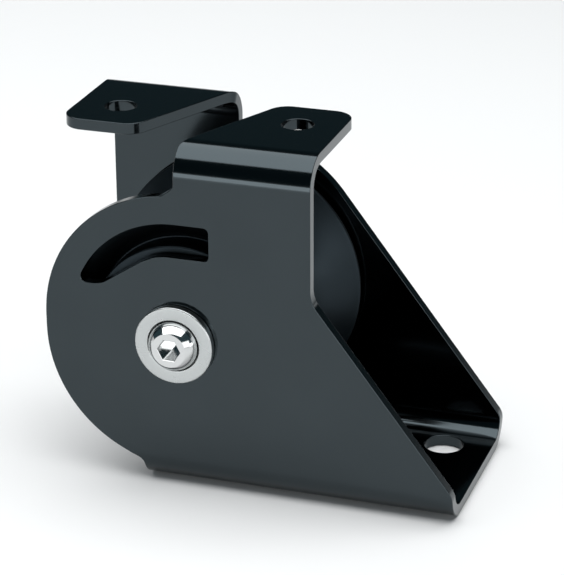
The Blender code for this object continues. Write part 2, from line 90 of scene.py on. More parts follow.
FLANGE_REACH = 42.5 * MM           # from a cheek's outer face to its flange's tip
FLANGE_SKEW = math.radians(24.1)
FLANGE_TIP_INSET = 16.5 * MM
FLANGE_CORNER = 6.2 * MM
FLANGE_ROOT_FILLET = 4.0 * MM
FLANGE_HOLE = 9.0 * MM
FLANGE_HOLE_X = 26.0 * MM
FLOOR_HOLE = 11.3 * MM
FLOOR_HOLE_X = 65.5 * MM
FLOOR_HOLE_Y = 13.7 * MM
AXLE_HOLE = 8.6 * MM

WINDOW_RADIUS = 30.7 * MM          # curved window in the near cheek
WINDOW_WIDTH = 9.7 * MM
WINDOW_END = 9.8 * MM
WINDOW_END_FILLET = 1.5 * MM
WINDOW_TIP_RISE = 10.6 * MM
WINDOW_TIP_FILLET = 1.9 * MM
WINDOW_TIP_ANGLE = math.radians(26.0)
WINDOW_SLOPE = math.radians(33.4)
WINDOW_LEVEL_START = 6.5 * MM
WINDOW_SWEEP = 16.0 * MM
WINDOW_HEEL = 8.0 * MM

# %% Sizes of the flat plate that follow
FOLD_MIDDLE = FOLD_OUTER - PLATE / 2
FOLD_LENGTH = FOLD_MIDDLE * math.pi / 2
FLOOR_FLAT = HALF_WIDTH - FOLD_OUTER
CHEEK_FOOT = FLOOR_FLAT + FOLD_LENGTH
CHEEK_TOP = CHEEK_FOOT + BLOCK_HEIGHT - 2 * FOLD_OUTER
FLANGE_ROOT = CHEEK_TOP + FOLD_LENGTH
FLANGE_TIP = FLANGE_ROOT + FLANGE_REACH - FOLD_OUTER
ARC_HEIGHT = AXLE.z + NOSE_RISE
print(f"flat plate: {2 * FLANGE_TIP / MM:.1f} mm across the folds")

# %% [markdown]
# Every outline here is straight runs joined by round corners, as a draughtsman would give it. One
# helper turns a list of corners with radii into a closed loop of points. It loops over the few
# corners, and numpy fills in the arcs, so a radius can be changed without touching anything else.

# %% Arcs and rounded corners
FINENESS = 0.004 * MM              # how far a chord may cut into its arc
COARSEST = 0.5                     # the largest share of a tiny radius that it may cut


def arc(centre, radius, start, end):
    """Points at equal steps of angle: the centre plus the radius times the angle's cosine and sine."""
    step = 2 * math.acos(1 - min(FINENESS / radius, COARSEST))
    count = max(2, math.ceil(abs(end - start) / step))
    angle = np.linspace(start, end, count + 1)
    return np.stack((centre[0] + radius * np.cos(angle), centre[1] + radius * np.sin(angle)), axis=1)


def fillet(before, corner, after, radius):
    """The arc that touches both edges of a corner.

    Its centre lies on the corner's bisector, at the radius over the sine of half the angle.
    """
    corner = Vector(corner)
    back = (Vector(before) - corner).normalized()
    ahead = (Vector(after) - corner).normalized()
    half = back.angle(ahead) / 2
    centre = corner + (back + ahead).normalized() * (radius / math.sin(half))
    first = corner + back * (radius / math.tan(half)) - centre
    last = corner + ahead * (radius / math.tan(half)) - centre
    start = math.atan2(first.y, first.x)
    turn = math.atan2(first.cross(last), first.dot(last))
    return arc(centre, radius, start, start + turn)


def rounded_loop(corners):
    """A closed loop of points from (x, v, radius) corners; radius 0 keeps a corner as it is."""
    pieces = []
    for i, (x, v, radius) in enumerate(corners):
        if radius:
            after = corners[(i + 1) % len(corners)]
            pieces.append(fillet(corners[i - 1][:2], (x, v), after[:2], radius))
        else:
            pieces.append(np.array([(x, v)]))
    return np.concatenate(pieces)


def turned_way(loop, anticlockwise):
    """The loop in the wanted direction, told by the sign of its area."""
    ahead = np.roll(loop, -1, axis=0)
    area = np.sum(loop[:, 0] * ahead[:, 1] - ahead[:, 0] * loop[:, 1])
    return loop if (area > 0) == anticlockwise else loop[::-1]


# %% [markdown]
# The bracket is one plate: a floor, two cheeks and two bolting flanges, cut flat and then folded.
# Modelling the flat shape first and folding it afterwards is how the real one is made, and it keeps
# every hole and corner true, because a fold only bends the plate. In the flat, x runs along the
# block and v across it, with v 0 on the floor's middle line and the near cheek at negative v.

# %% Outline of the flat plate
def on_cheek(height):
    """Place across the flat plate of a height above the ground on a cheek."""
    return CHEEK_FOOT + height - FOLD_OUTER


def slant_height(x):
    """Height of the long slanted edge, the tangent that leaves the nose's upper arc at SLANT."""
    return ARC_HEIGHT + (NOSE_RADIUS - x * math.sin(SLANT)) / math.cos(SLANT)


def nose_arc(height, start, end):
    """Corners along the round nose, about a centre on the axle's plane at the given height."""
    return [(x, v, 0) for x, v in arc((0.0, on_cheek(height)), NOSE_RADIUS, start, end)]


def neck_and_flange(outward):
    """Corners up the neck and round the flange; outward is +1 where it lies towards the free end."""
    skew_run = FLANGE_TIP_INSET / math.tan(FLANGE_SKEW)
    return [
        (0.0, on_cheek(ARC_HEIGHT + NOSE_RADIUS + NOTCH_HEIGHT), NOTCH_FILLET),
        (0.0, FLANGE_TIP - skew_run, FLANGE_ROOT_FILLET),
        (outward * FLANGE_TIP_INSET, FLANGE_TIP, FLANGE_CORNER),
        (outward * NOSE_RADIUS, FLANGE_TIP, FLANGE_CORNER),
    ]


def plate_outline():
    """The whole outline: the near half at negative v, then the far half back to the start."""
    notch = math.acos(NOTCH_WIDTH / NOSE_RADIUS)
    heel = math.pi + math.acos((FLOOR_START + HEEL_RUN) / NOSE_RADIUS)
    arc_x = FLOOR_START + HEEL_RUN
    drop = math.sqrt(NOSE_RADIUS ** 2 - arc_x ** 2)
    heel_height = AXLE.z - drop - HEEL_RUN * arc_x / drop
    floor_corner = (FLOOR_END, on_cheek(slant_height(FLOOR_END)), FLOOR_CORNER)
    lower_nose = nose_arc(AXLE.z, math.pi, heel) + [(-FLOOR_START, on_cheek(heel_height), HEEL_CORNER)]
    neck_corner = (NOSE_RADIUS, on_cheek(slant_height(NOSE_RADIUS)), NECK_FILLET)
    near = [floor_corner, neck_corner, *neck_and_flange(1)[::-1]]
    near += nose_arc(ARC_HEIGHT, math.pi - notch, math.pi) + lower_nose
    far = [floor_corner, *nose_arc(ARC_HEIGHT, math.pi / 2 - SLANT, notch)]
    far += neck_and_flange(-1) + lower_nose
    return rounded_loop([(x, -v, radius) for x, v, radius in near] + far[::-1])


outline = turned_way(plate_outline(), True)
print("outline points:", len(outline))


# %% [markdown]
# The holes are cut in the flat as well: two bolt holes in the flanges, one in the floor, a hole for
# each axle screw, and the curved window in the near cheek, whose upper edge follows the nose.

# %% Holes in the flat plate
def round_hole(x, v, diameter):
    """A circle: every angle of a full turn but the last, which would repeat the first point."""
    return arc((x, v), diameter / 2, 0.0, 2 * math.pi)[:-1]


def window():
    """The window: a level run, an arc about the nose's upper centre, and a tip lower down."""
    centre = on_cheek(ARC_HEIGHT)
    top = centre + WINDOW_RADIUS
    level = top - WINDOW_WIDTH
    foot = centre + WINDOW_TIP_RISE
    shoulder = -WINDOW_RADIUS * math.tan((math.pi / 2 - WINDOW_TIP_ANGLE) / 2)
    tip = shoulder - (top - foot) * math.tan(WINDOW_TIP_ANGLE)
    slope_foot = -WINDOW_LEVEL_START - (level - foot) / math.tan(WINDOW_SLOPE)
    corners = [
        (WINDOW_END, top, WINDOW_END_FILLET),
        (shoulder, top, WINDOW_RADIUS),
        (tip, foot, WINDOW_TIP_FILLET),
        (slope_foot, foot, WINDOW_HEEL),
        (-WINDOW_LEVEL_START, level, WINDOW_SWEEP),
        (WINDOW_END, level, WINDOW_END_FILLET),
    ]
    return rounded_loop([(x, -v, radius) for x, v, radius in corners])


flange_middle = FLANGE_ROOT + HALF_WIDTH - FOLD_OUTER
holes = [
    window(),
    round_hole(FLOOR_HOLE_X, FLOOR_HOLE_Y, FLOOR_HOLE),
    round_hole(FLANGE_HOLE_X, -flange_middle, FLANGE_HOLE),
    round_hole(-FLANGE_HOLE_X, flange_middle, FLANGE_HOLE),
    round_hole(0.0, -on_cheek(AXLE.z), AXLE_HOLE),
    round_hole(0.0, on_cheek(AXLE.z), AXLE_HOLE),
]
holes = [turned_way(hole, False) for hole in holes]
print("holes:", len(holes))


# %% [markdown]
# Folding is a function from the flat plate to space. Walking across the plate, the way is straight
# on a flat and turns at a steady rate in a fold, so sines and cosines of the turn give the place.
# Because it is a formula, it also gives the exact outward direction at every point, which makes the
# shading of the round folds smooth and leaves the flats perfectly flat.

# %% Fold the plate
def fold(x, v, depth):
    """Place, outward direction and across direction of points of the plate once it is folded.

    The turn is the length walked inside the folds over the folds' middle radius. The middle sheet
    adds up straight runs and the radius times the sine and cosine of the turns, and depth moves a
    point off the middle sheet along the outward direction.
    """
    across = np.abs(v)
    side = np.where(v < 0, -1.0, 1.0)
    first = np.clip(across - FLOOR_FLAT, 0, FOLD_LENGTH) / FOLD_MIDDLE
    second = np.clip(across - CHEEK_TOP, 0, FOLD_LENGTH) / FOLD_MIDDLE
    turn = first + second
    y = np.minimum(across, FLOOR_FLAT) - np.maximum(across - FLANGE_ROOT, 0)
    y = y + FOLD_MIDDLE * (np.sin(first) + np.cos(second) - 1)
    z = PLATE / 2 + np.clip(across - CHEEK_FOOT, 0, CHEEK_TOP - CHEEK_FOOT)
    z = z + FOLD_MIDDLE * (1 - np.cos(first) + np.sin(second))
    nothing = np.zeros_like(turn)
    outward = np.stack((nothing, side * np.sin(turn), -np.cos(turn)), axis=-1)
    over = np.stack((nothing, np.cos(turn), side * np.sin(turn)), axis=-1)
    place = np.stack((AXLE.x + x, side * y, z), axis=-1) + depth[..., None] * outward
    return place, outward, over


# %% [markdown]
# A laser-cut plate has its edges eased before it is coated, and that thin round edge is what catches
# the light. Each loop carries one small profile along it: a quarter round, a straight wall, and a
# quarter round on the other face. The flat faces start where the profile ends, so the loop is first
# drawn in by the edge's radius, and it gets a point wherever it crosses a strip of a fold.

# %% Loops ready for the edge profile
TINY = 1e-7

fold_run = np.linspace(0, FOLD_LENGTH, FOLD_STEPS + 1)
fold_lines = np.concatenate((FLOOR_FLAT + fold_run, CHEEK_TOP + fold_run))
fold_lines = np.concatenate((-fold_lines[::-1], fold_lines))


def with_outward(loop):
    """Adds to each point the direction out of the plate, as two more columns.

    It is the mean of the right-hand normals of the edges before and after, over its cosine with
    either, so that a step along it keeps the same distance from both edges.
    """
    ahead = np.roll(loop, -1, axis=0) - loop
    ahead = ahead / np.linalg.norm(ahead, axis=1, keepdims=True)
    right = np.stack((ahead[:, 1], -ahead[:, 0]), axis=1)
    mean = right + np.roll(right, 1, axis=0)
    mean = mean / np.linalg.norm(mean, axis=1, keepdims=True)
    return np.concatenate((loop, mean / np.sum(mean * right, axis=1, keepdims=True)), axis=1)


def drawn_in(loop, distance):
    """The loop moved into the plate: each point less the distance times its outward direction."""
    moved = loop.copy()
    moved[:, :2] -= distance * loop[:, 2:]
    return moved


def split_at_folds(loop):
    """Adds a point wherever the loop crosses a fold line, by linear interpolation."""
    step = np.roll(loop, -1, axis=0) - loop
    with np.errstate(divide="ignore", invalid="ignore"):
        share = (fold_lines[None, :] - loop[:, 1:2]) / step[:, 1:2]
    edge, line = np.nonzero((share > TINY) & (share < 1 - TINY))
    share = share[edge, line]
    added = loop[edge] + share[:, None] * step[edge]
    added[:, 1] = fold_lines[line]
    order = np.argsort(np.concatenate((np.arange(len(loop)), edge + share)))
    return np.concatenate((loop, added))[order]


loops = [split_at_folds(drawn_in(with_outward(loop), EDGE_ROUND)) for loop in [outline, *holes]]
print("points round all edges:", sum(len(loop) for loop in loops))


# %% [markdown]
# The broad faces lie between the loops. Blender's constrained Delaunay routine fills such a shape
# with triangles and keeps given edges, so it also gets a straight edge along every fold line. It
# fills the outline's hull: a count of crossings throws away what lies outside or in a hole, and an
# area of nothing tells the slivers along a straight side of the hull.

# %% Fill the broad faces
WHOLE_HULL = 0                     # the routine's output type that fills the hull with triangles
SAME_PLACE = TINY / 10             # points this close count as one


def inside(places):
    """True where a place is in the plate: a line from it towards +x meets the loops an odd number of
    times."""
    crossings = np.zeros(len(places), int)
    for loop in loops:
        a = loop[:, :2]
        b = np.roll(a, -1, axis=0)
        spans = (a[:, 1] > places[:, 1:2]) != (b[:, 1] > places[:, 1:2])
        with np.errstate(divide="ignore", invalid="ignore"):
            meet = a[:, 0] + (places[:, 1:2] - a[:, 1]) * (b[:, 0] - a[:, 0]) / (b[:, 1] - a[:, 1])
        crossings += np.sum(spans & (meet > places[:, 0:1]), axis=1)
    return crossings % 2 == 1


def loop_edges():
    """Pairs of neighbouring points, loop by loop, in the joined list of points."""
    pairs, first = [], 0
    for loop in loops:
        index = first + np.arange(len(loop))
        pairs.append(np.stack((index, np.roll(index, -1)), axis=1))
        first += len(loop)
    return np.concatenate(pairs)


def fold_edges(points):
    """Straight edges along the fold lines, between neighbouring points that see each other."""
    found = []
    for line in fold_lines:
        on = np.flatnonzero(np.abs(points[:, 1] - line) < TINY)
        on = on[np.argsort(points[on, 0])]
        pairs = np.stack((on[:-1], on[1:]), axis=1)
        found.append(pairs[inside(points[pairs].mean(axis=1))])
    return np.concatenate(found)


def fill_faces():
    """Triangles of the plate's face, anticlockwise in the flat, as indices into the joined loops."""
    points = np.concatenate([loop[:, :2] for loop in loops])
    edges = np.concatenate((loop_edges(), fold_edges(points)))
    filled = geometry.delaunay_2d_cdt(
        [Vector(p) for p in points], edges.tolist(), [], WHOLE_HULL, SAME_PLACE, True
    )
    faces, sources = filled[2:4]
    origin = np.array([ids[0] for ids in sources])
    triangles = origin[np.array(faces)]
    triangles = triangles[inside(points[triangles].mean(axis=1))]
    a, b, c = (points[triangles[:, i]] for i in range(3))
    area = (b[:, 0] - a[:, 0]) * (c[:, 1] - a[:, 1]) - (c[:, 0] - a[:, 0]) * (b[:, 1] - a[:, 1])
    triangles = np.where(area[:, None] > 0, triangles, triangles[:, ::-1])
    return triangles[np.abs(area) > TINY ** 2]


face_triangles = fill_faces()
print("triangles on each broad face:", len(face_triangles))


# %% [markdown]
# Exact normals can be given, and otherwise edges sharper than an angle stay crisp.

# %% Put a surface into a mesh
CRISP = math.radians(32)


def new_piece(name, points, faces, body, slot, stands_for, normals=None):
    mesh = bpy.data.meshes.new(name)
    mesh.from_pydata(points.tolist(), [], [face.tolist() for group in faces for face in group])
    mesh.shade_smooth()
    if normals is None:
        mesh.set_sharp_from_angle(angle=CRISP)
    else:
        mesh.normals_split_custom_set_from_vertices(normals.tolist())
    piece = bpy.data.objects.new(name, mesh)
    bpy.context.scene.collection.objects.link(piece)
    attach(piece, body)
    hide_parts(stands_for)
    print(name, len(mesh.vertices), "points,", len(mesh.polygons), "faces")
    return piece


# %% [markdown]
# Now the profile goes round the loops. It is a grid with one row for each point of the loop and one
# column for each step of the profile, and its first and last columns are the rims of the two faces.

# %% Make the folded bracket
def edge_profile():
    """Steps over the edge: how far out of the loop, how deep in the plate, and the normal's tilt.

    The tilt runs from 90 degrees, square to the outer face, to -90. A step lies out by the edge's
    radius times its tilt's cosine, and as deep as a quarter's centre plus the radius times the sine.
    """
    quarter = np.linspace(math.pi / 2, 0, EDGE_STEPS + 1)
    tilt = np.concatenate((quarter, -quarter[::-1]))
    wall = PLATE / 2 - EDGE_ROUND
    centre = np.repeat((wall, -wall), EDGE_STEPS + 1)
    return EDGE_ROUND * np.cos(tilt), centre + EDGE_ROUND * np.sin(tilt), tilt


def make_bracket():
    """The profile carried round the loops and folded, with the two broad faces between the rims.

    A normal is the way out of the loop times the tilt's cosine, plus the way out of the sheet times
    its sine.
    """
    out, depth, tilt = edge_profile()
    rows = np.concatenate(loops)
    x = rows[:, 0:1] + out * rows[:, 2:3]
    v = rows[:, 1:2] + out * rows[:, 3:4]
    place, outward, over = fold(x, v, depth * np.ones_like(x))
    sideways = rows[:, None, 2:] / np.linalg.norm(rows[:, None, 2:], axis=2, keepdims=True)
    level = sideways[..., 0:1] * np.array((1.0, 0.0, 0.0)) + sideways[..., 1:2] * over
    normals = np.cos(tilt)[:, None] * level + np.sin(tilt)[:, None] * outward
    steps = len(tilt)
    edges = loop_edges() * steps
    this = edges[:, 0:1] + np.arange(steps - 1)
    following = edges[:, 1:2] + np.arange(steps - 1)
    strips = np.stack((this, following, following + 1, this + 1), axis=-1).reshape(-1, 4)
    outer_face = face_triangles[:, ::-1] * steps
    inner_face = face_triangles * steps + steps - 1
    return new_piece(
        "folded_bracket",
        place.reshape(-1, 3),
        (strips, outer_face, inner_face),
        body="frame",
        slot="black_plate",
        stands_for="bracket",
        normals=normals.reshape(-1, 3),
    )


bracket = make_bracket()

# %% [markdown]
# The sheave, the washers and the screws come off a lathe. Each is a profile carried round the axle:
# the rows of a grid are the profile's points and its columns are angles. A profile point is a radius
# and a distance out from the middle of the block, towards the near side or the far one.

# %% Turn a profile round the axle
ROUND_STEPS = 180
NEAR, FAR = -1, 1
around = np.linspace(0, 2 * math.pi, ROUND_STEPS, endpoint=False)


def round_grid(radius, out, side):
    """Points of a turned surface: the axle plus the radius times the angle's cosine and sine.

    radius and out are columns or whole grids, with one column for each angle.
    """
    radius = radius * np.ones(ROUND_STEPS)
    out = out * np.ones(ROUND_STEPS)
    x = AXLE.x + radius * np.cos(around)
    z = AXLE.z + radius * np.sin(around)
    return np.stack((x, side * out, z), axis=-1).reshape(-1, 3)


def round_faces(rows, closed, side):
    """Quads between neighbouring rows and angles; a closed profile joins its last row to its first.

    The near side is a mirror image of the far one, so its faces are turned over.
    """
    index = np.arange(rows * ROUND_STEPS).reshape(rows, ROUND_STEPS)
    if closed:
        index = np.concatenate((index, index[:1]))
    ahead = np.roll(index, -1, axis=1)
    quads = np.stack((index[:-1], index[1:], ahead[1:], ahead[:-1]), axis=-1).reshape(-1, 4)
    return quads if side == FAR else quads[:, ::-1]


def turned_ring(name, loop, side, **belongs):
    """A ring from a closed profile of radius and distance."""
    loop = turned_way(loop, True)
    points = round_grid(loop[:, 0:1], loop[:, 1:2], side)
    return new_piece(name, points, (round_faces(len(loop), True, side),), **belongs)


# %% [markdown]
# The sheave has a round rope groove between its rims, and a channel is turned into each side behind
# the rims, which leaves a hub in the middle. The groove is one arc through both lips, and the
# channel is an arc about the same centre, one wall further in. An arc that meets a rounded corner
# stops just short of it, so that the corner has room.

# %% Sizes of the sheave
sheave_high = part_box("sheave")[1]
SHEAVE_RADIUS = sheave_high.z - AXLE.z
HUB_FACE = sheave_high.y
BORE_STEP = 0.6 * MM               # from the hub's face in to the bore's end
BORE_FACE = HUB_FACE - BORE_STEP
CHEEK_INNER = HALF_WIDTH - PLATE
RIM_SIDE_GAP = 1.9 * MM            # from a rim's side face to the cheek
RIM_FACE = CHEEK_INNER - RIM_SIDE_GAP
RIM_LIP = 1.2 * MM
RIM_ROUND = 0.5 * MM
GROOVE_FLOOR = 24.5 * MM           # radius at the bottom of the rope groove
FLANK_WALL = 3.0 * MM
HUB_RADIUS = 26.6 * MM
HUB_BORE = 10.8 * MM
HUB_TUBE = 13.6 * MM
POCKET_RADIUS = 21.2 * MM
POCKET_FLOOR = 19.2 * MM
SMALL_ROUND = 0.25 * MM
CORNER_ROOM = 0.9 * MM             # an arc stops this far short of a rounded corner
print(f"sheave diameter {2 * SHEAVE_RADIUS / MM:.1f} mm, {2 * HUB_FACE / MM:.1f} mm along the axle")


# %% Make the sheave
def sheave_profile():
    """Half of the profile on each side of the middle, and the rope groove between the halves."""
    chord = RIM_FACE - RIM_LIP
    deep = SHEAVE_RADIUS - GROOVE_FLOOR
    groove = (chord ** 2 + deep ** 2) / (2 * deep)
    centre = (GROOVE_FLOOR + groove, 0.0)
    back = groove + FLANK_WALL
    lip = math.atan2(chord, centre[0] - SHEAVE_RADIUS) - CORNER_ROOM / groove
    channel_foot = math.sqrt(back ** 2 - (centre[0] - HUB_RADIUS) ** 2)
    channel_rim = centre[0] - math.sqrt(back ** 2 - RIM_FACE ** 2)
    first = math.pi - math.asin(channel_foot / back) - CORNER_ROOM / back
    last = math.pi - math.asin(RIM_FACE / back) + CORNER_ROOM / back
    half = [
        (HUB_BORE, BORE_FACE, SMALL_ROUND),
        (HUB_TUBE, BORE_FACE, SMALL_ROUND),
        (HUB_TUBE, POCKET_FLOOR, SMALL_ROUND),
        (POCKET_RADIUS, POCKET_FLOOR, SMALL_ROUND),
        (POCKET_RADIUS, HUB_FACE, SMALL_ROUND),
        (HUB_RADIUS, HUB_FACE, RIM_ROUND),
        (HUB_RADIUS, channel_foot, RIM_ROUND),
        *[(x, y, 0) for x, y in arc(centre, back, first, last)],
        (channel_rim, RIM_FACE, SMALL_ROUND),
        (SHEAVE_RADIUS, RIM_FACE, RIM_ROUND),
        (SHEAVE_RADIUS, chord, RIM_ROUND),
    ]
    floor = [(x, y, 0) for x, y in arc(centre, groove, math.pi - lip, math.pi + lip)]
    mirrored = [(x, -y, radius) for x, y, radius in half[::-1]]
    return rounded_loop(half + floor + mirrored)


sheave = turned_ring(
    "turned_sheave", sheave_profile(), FAR, body="sheave", slot="black_sheave", stands_for="sheave"
)

# %% [markdown]
# A bright washer sits under each screw's head, with a shallow recess that takes the head. Both
# washers are the same ring, once for each side.

# %% Make the washers
washer_low, washer_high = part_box("far_washer")
WASHER_RADIUS = (washer_high.x - washer_low.x) / 2
WASHER_FOOT = washer_low.y
WASHER_FACE = washer_high.y
RECESS_RADIUS = 7.5 * MM
RECESS_DEPTH = 1.2 * MM
BORE_RADIUS = 4.3 * MM
SIDES = {"near": NEAR, "far": FAR}


def washer_profile():
    """The ring's section, from its foot on the cheek, over the rim and down into the recess."""
    seat = WASHER_FACE - RECESS_DEPTH
    return rounded_loop([
        (BORE_RADIUS, WASHER_FOOT, SMALL_ROUND),
        (WASHER_RADIUS, WASHER_FOOT, SMALL_ROUND),
        (WASHER_RADIUS, WASHER_FACE, RIM_ROUND),
        (RECESS_RADIUS, WASHER_FACE, SMALL_ROUND),
        (RECESS_RADIUS, seat, SMALL_ROUND),
        (BORE_RADIUS, seat, SMALL_ROUND),
    ])


washers = [
    turned_ring(
        f"turned_{name}_washer", washer_profile(), side,
        body="frame", slot="bright_steel", stands_for=f"{name}_washer",
    )
    for name, side in SIDES.items()
]

# %% [markdown]
# A button-head screw is round everywhere but in its socket. One grid makes both: each row has a
# radius for every angle, equal all round on the dome and the shank, and a hexagon's radius in the
# socket. The thread is a wave whose phase moves on by one pitch in a turn, so it closes on itself.

# %% Sizes of the screws
screw_low, screw_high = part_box("far_screw")
HEAD_RADIUS = (screw_high.x - screw_low.x) / 2
HEAD_TOP = screw_high.y
HEAD_HEIGHT = 4.4 * MM
HEAD_LAND = 0.8 * MM               # straight edge below the dome
HEAD_FLAT = 4.95 * MM              # radius of the flat round the socket
DOME_TURN = math.radians(38.0)     # how far the dome curves over from the edge to the flat
SCREW_TIP = screw_low.y
SHANK_RADIUS = 4.0 * MM
SOCKET_FLATS = 5.8 * MM
SOCKET_DEPTH = 6.5 * MM
SOCKET_EASE = 0.1 * MM             # the eased edge of its mouth
SOCKET_TURN = math.radians(58.0)   # a corner of the hexagon, on one of the grid's angles
THREAD_PITCH = 1.25 * MM
THREAD_DEPTH = 0.65 * MM
THREAD_ROWS = 8                    # rows to a pitch
TIP_TAPER = 1.0 * MM
HEAD_FOOT = HEAD_TOP - HEAD_HEIGHT
print(f"screw head {2 * HEAD_RADIUS / MM:.1f} mm, {(HEAD_TOP - SCREW_TIP) / MM:.1f} mm long overall")


# %% Make the screws
def hexagon(flats, side):
    """Radius of a hexagon at each angle: half its flats over the cosine of the angle off a flat."""
    off_flat = (around + side * SOCKET_TURN) % (math.pi / 3) - math.pi / 6
    return flats / 2 / np.cos(off_flat)


def shank_rows():
    """Radius and distance up the threaded shank: a triangle wave that winds once in a pitch."""
    count = round((HEAD_FOOT - SCREW_TIP) / THREAD_PITCH * THREAD_ROWS)
    out = np.linspace(SCREW_TIP, HEAD_FOOT, count)[:, None]
    phase = (out / THREAD_PITCH + around / (2 * math.pi)) % 1
    wave = 1 - np.abs(2 * phase - 1)
    fade = np.clip((HEAD_FOOT - out) / THREAD_PITCH - 1, 0, 1)
    taper = np.clip(1 - (out - SCREW_TIP) / TIP_TAPER, 0, 1) * TIP_TAPER
    return SHANK_RADIUS - THREAD_DEPTH * wave * fade - taper, out * np.ones(ROUND_STEPS)


def dome_rows():
    """The dome: an arc from the head's straight edge to its flat.

    Its radius is half the chord between the two over the sine of half the turn, and its centre lies
    square to the middle of the chord, further in by the radius times the cosine of half the turn.
    """
    edge = np.array((HEAD_RADIUS, HEAD_FOOT + HEAD_LAND))
    flat = np.array((HEAD_FLAT, HEAD_TOP))
    run, rise = edge[0] - flat[0], flat[1] - edge[1]
    chord = math.hypot(run, rise)
    radius = chord / 2 / math.sin(DOME_TURN / 2)
    inward = np.array((rise, run)) / chord
    centre = (edge + flat) / 2 - radius * math.cos(DOME_TURN / 2) * inward
    tilt = math.atan2(run, rise)
    return arc(centre, radius, tilt - DOME_TURN / 2, tilt + DOME_TURN / 2)


def screw_rows(side):
    """All rows from the tip, up the shank, over the head and down into the socket.

    The last three rows are the socket: its eased mouth, the top of its hexagon and its flat floor.
    """
    foot = [(HEAD_RADIUS - SMALL_ROUND, HEAD_FOOT), (HEAD_RADIUS, HEAD_FOOT + SMALL_ROUND)]
    head = np.concatenate((foot, dome_rows()))
    ones = np.ones(ROUND_STEPS)
    shank_radius, shank_out = shank_rows()
    socket = hexagon(SOCKET_FLATS, side)
    floor = HEAD_TOP - SOCKET_DEPTH
    heights = np.array((HEAD_TOP, HEAD_TOP - SOCKET_EASE, floor))[:, None]
    mouth = hexagon(SOCKET_FLATS + 2 * SOCKET_EASE, side)
    radius = (shank_radius, head[:, 0:1] * ones, [mouth, socket, socket])
    out = (shank_out, head[:, 1:2] * ones, heights * ones)
    return np.concatenate(radius), np.concatenate(out)


def make_screw(name, side):
    """The rows as a grid, closed by a point on the axis at the tip and on the socket's floor."""
    radius, out = screw_rows(side)
    points = round_grid(radius, out, side)
    poles = [(AXLE.x, side * out[0, 0], AXLE.z), (AXLE.x, side * out[-1, 0], AXLE.z)]
    count = len(points)
    first = np.arange(ROUND_STEPS)
    last = first + count - ROUND_STEPS
    tip = np.stack((np.full(ROUND_STEPS, count), first, np.roll(first, -1)), axis=1)
    socket = np.stack((last, np.full(ROUND_STEPS, count + 1), np.roll(last, -1)), axis=1)
    if side == NEAR:
        tip, socket = tip[:, ::-1], socket[:, ::-1]
    faces = (round_faces(len(radius), False, side), tip, socket)
    return new_piece(
        f"turned_{name}_screw", np.concatenate((points, poles)), faces,
        body="frame", slot="bright_steel", stands_for=f"{name}_screw",
    )


screws = [make_screw(name, side) for name, side in SIDES.items()]

# %% [markdown]
# Now the finishes. A material is a small graph of nodes, and one helper keeps each node to a line: it
# sets the node's own properties and fills its inputs, either with a value or with another node's
# socket. A second helper starts a node group, a piece of graph with a name of its own that several
# finishes can share.

# %% Helpers for nodes
MIX_SHARE, MIX_FIRST, MIX_SECOND = 0, 6, 7     # where a Mix node keeps its inputs for colours
MIX_RESULT = 2                                 # and where it puts out the mixed colour


def node(tree, kind, inputs, **settings):
    """A new node; an input is given by its name or place, as a value or another node's socket."""
    made = tree.nodes.new("ShaderNode" + kind)
    for name, value in settings.items():
        setattr(made, name, value)
    for key, value in inputs.items():
        if isinstance(value, bpy.types.NodeSocket):
            tree.links.new(value, made.inputs[key])
        else:
            made.inputs[key].default_value = value
    return made


def new_group(name, inputs, outputs):
    """A node group with named inputs, given with their kinds, and number outputs."""
    group = bpy.data.node_groups.new(name, "ShaderNodeTree")
    for socket, kind in inputs.items():
        group.interface.new_socket(socket, in_out="INPUT", socket_type="NodeSocket" + kind)
    for socket in outputs:
        group.interface.new_socket(socket, in_out="OUTPUT", socket_type="NodeSocketFloat")
    given = group.nodes.new("NodeGroupInput").outputs
    wanted = group.nodes.new("NodeGroupOutput").inputs
    return group, given, wanted


# %% [markdown]
# No real finish is quite even. Black coating lies a little thicker in some places, and up close it
# has the faint skin of an orange. Both are soft noise, at a large scale and at a small one, so one
# group makes them for every finish here.

# %% Group for patches and grain
def variation_group():
    """Two noises of the place: each is scaled by one over the size of its features."""
    inputs = {"Vector": "Vector", "Patch Size": "Float", "Grain Size": "Float"}
    group, given, wanted = new_group("surface_variation", inputs, ("Patches", "Grain"))
    for result, size in (("Patches", "Patch Size"), ("Grain", "Grain Size")):
        scale = node(group, "Math", {0: 1.0, 1: given[size]}, operation="DIVIDE")
        noise = node(group, "TexNoise", {"Vector": given["Vector"], "Scale": scale.outputs[0]})
        group.links.new(noise.outputs[0], wanted[result])
    return group


surface_variation = variation_group()
print("group:", surface_variation.name)

# %% [markdown]
# A lathe tool leaves fine rings. Seen on a flat face they change with the radius, and on a barrel
# with the place along the axle, so the group reads a flat noise at those two numbers.

# %% Group for turning marks
def turning_group():
    """A two-dimensional noise of the radius and the place along the axle, over the pitch."""
    group, given, wanted = new_group("turning_marks", {"Vector": "Vector", "Pitch": "Float"}, ("Marks",))
    part = node(group, "SeparateXYZ", {0: given["Vector"]}).outputs
    cross = node(group, "CombineXYZ", {"X": part["X"], "Z": part["Z"]})
    radius = node(group, "VectorMath", {0: cross.outputs[0]}, operation="LENGTH").outputs["Value"]
    place = node(group, "CombineXYZ", {"X": radius, "Y": part["Y"]})
    scale = node(group, "Math", {0: 1.0, 1: given["Pitch"]}, operation="DIVIDE")
    noise_inputs = {"Vector": place.outputs[0], "Scale": scale.outputs[0]}
    noise = node(group, "TexNoise", noise_inputs, noise_dimensions="2D")
    group.links.new(noise.outputs[0], wanted["Marks"])
    return group


turning_marks = turning_group()
print("group:", turning_marks.name)

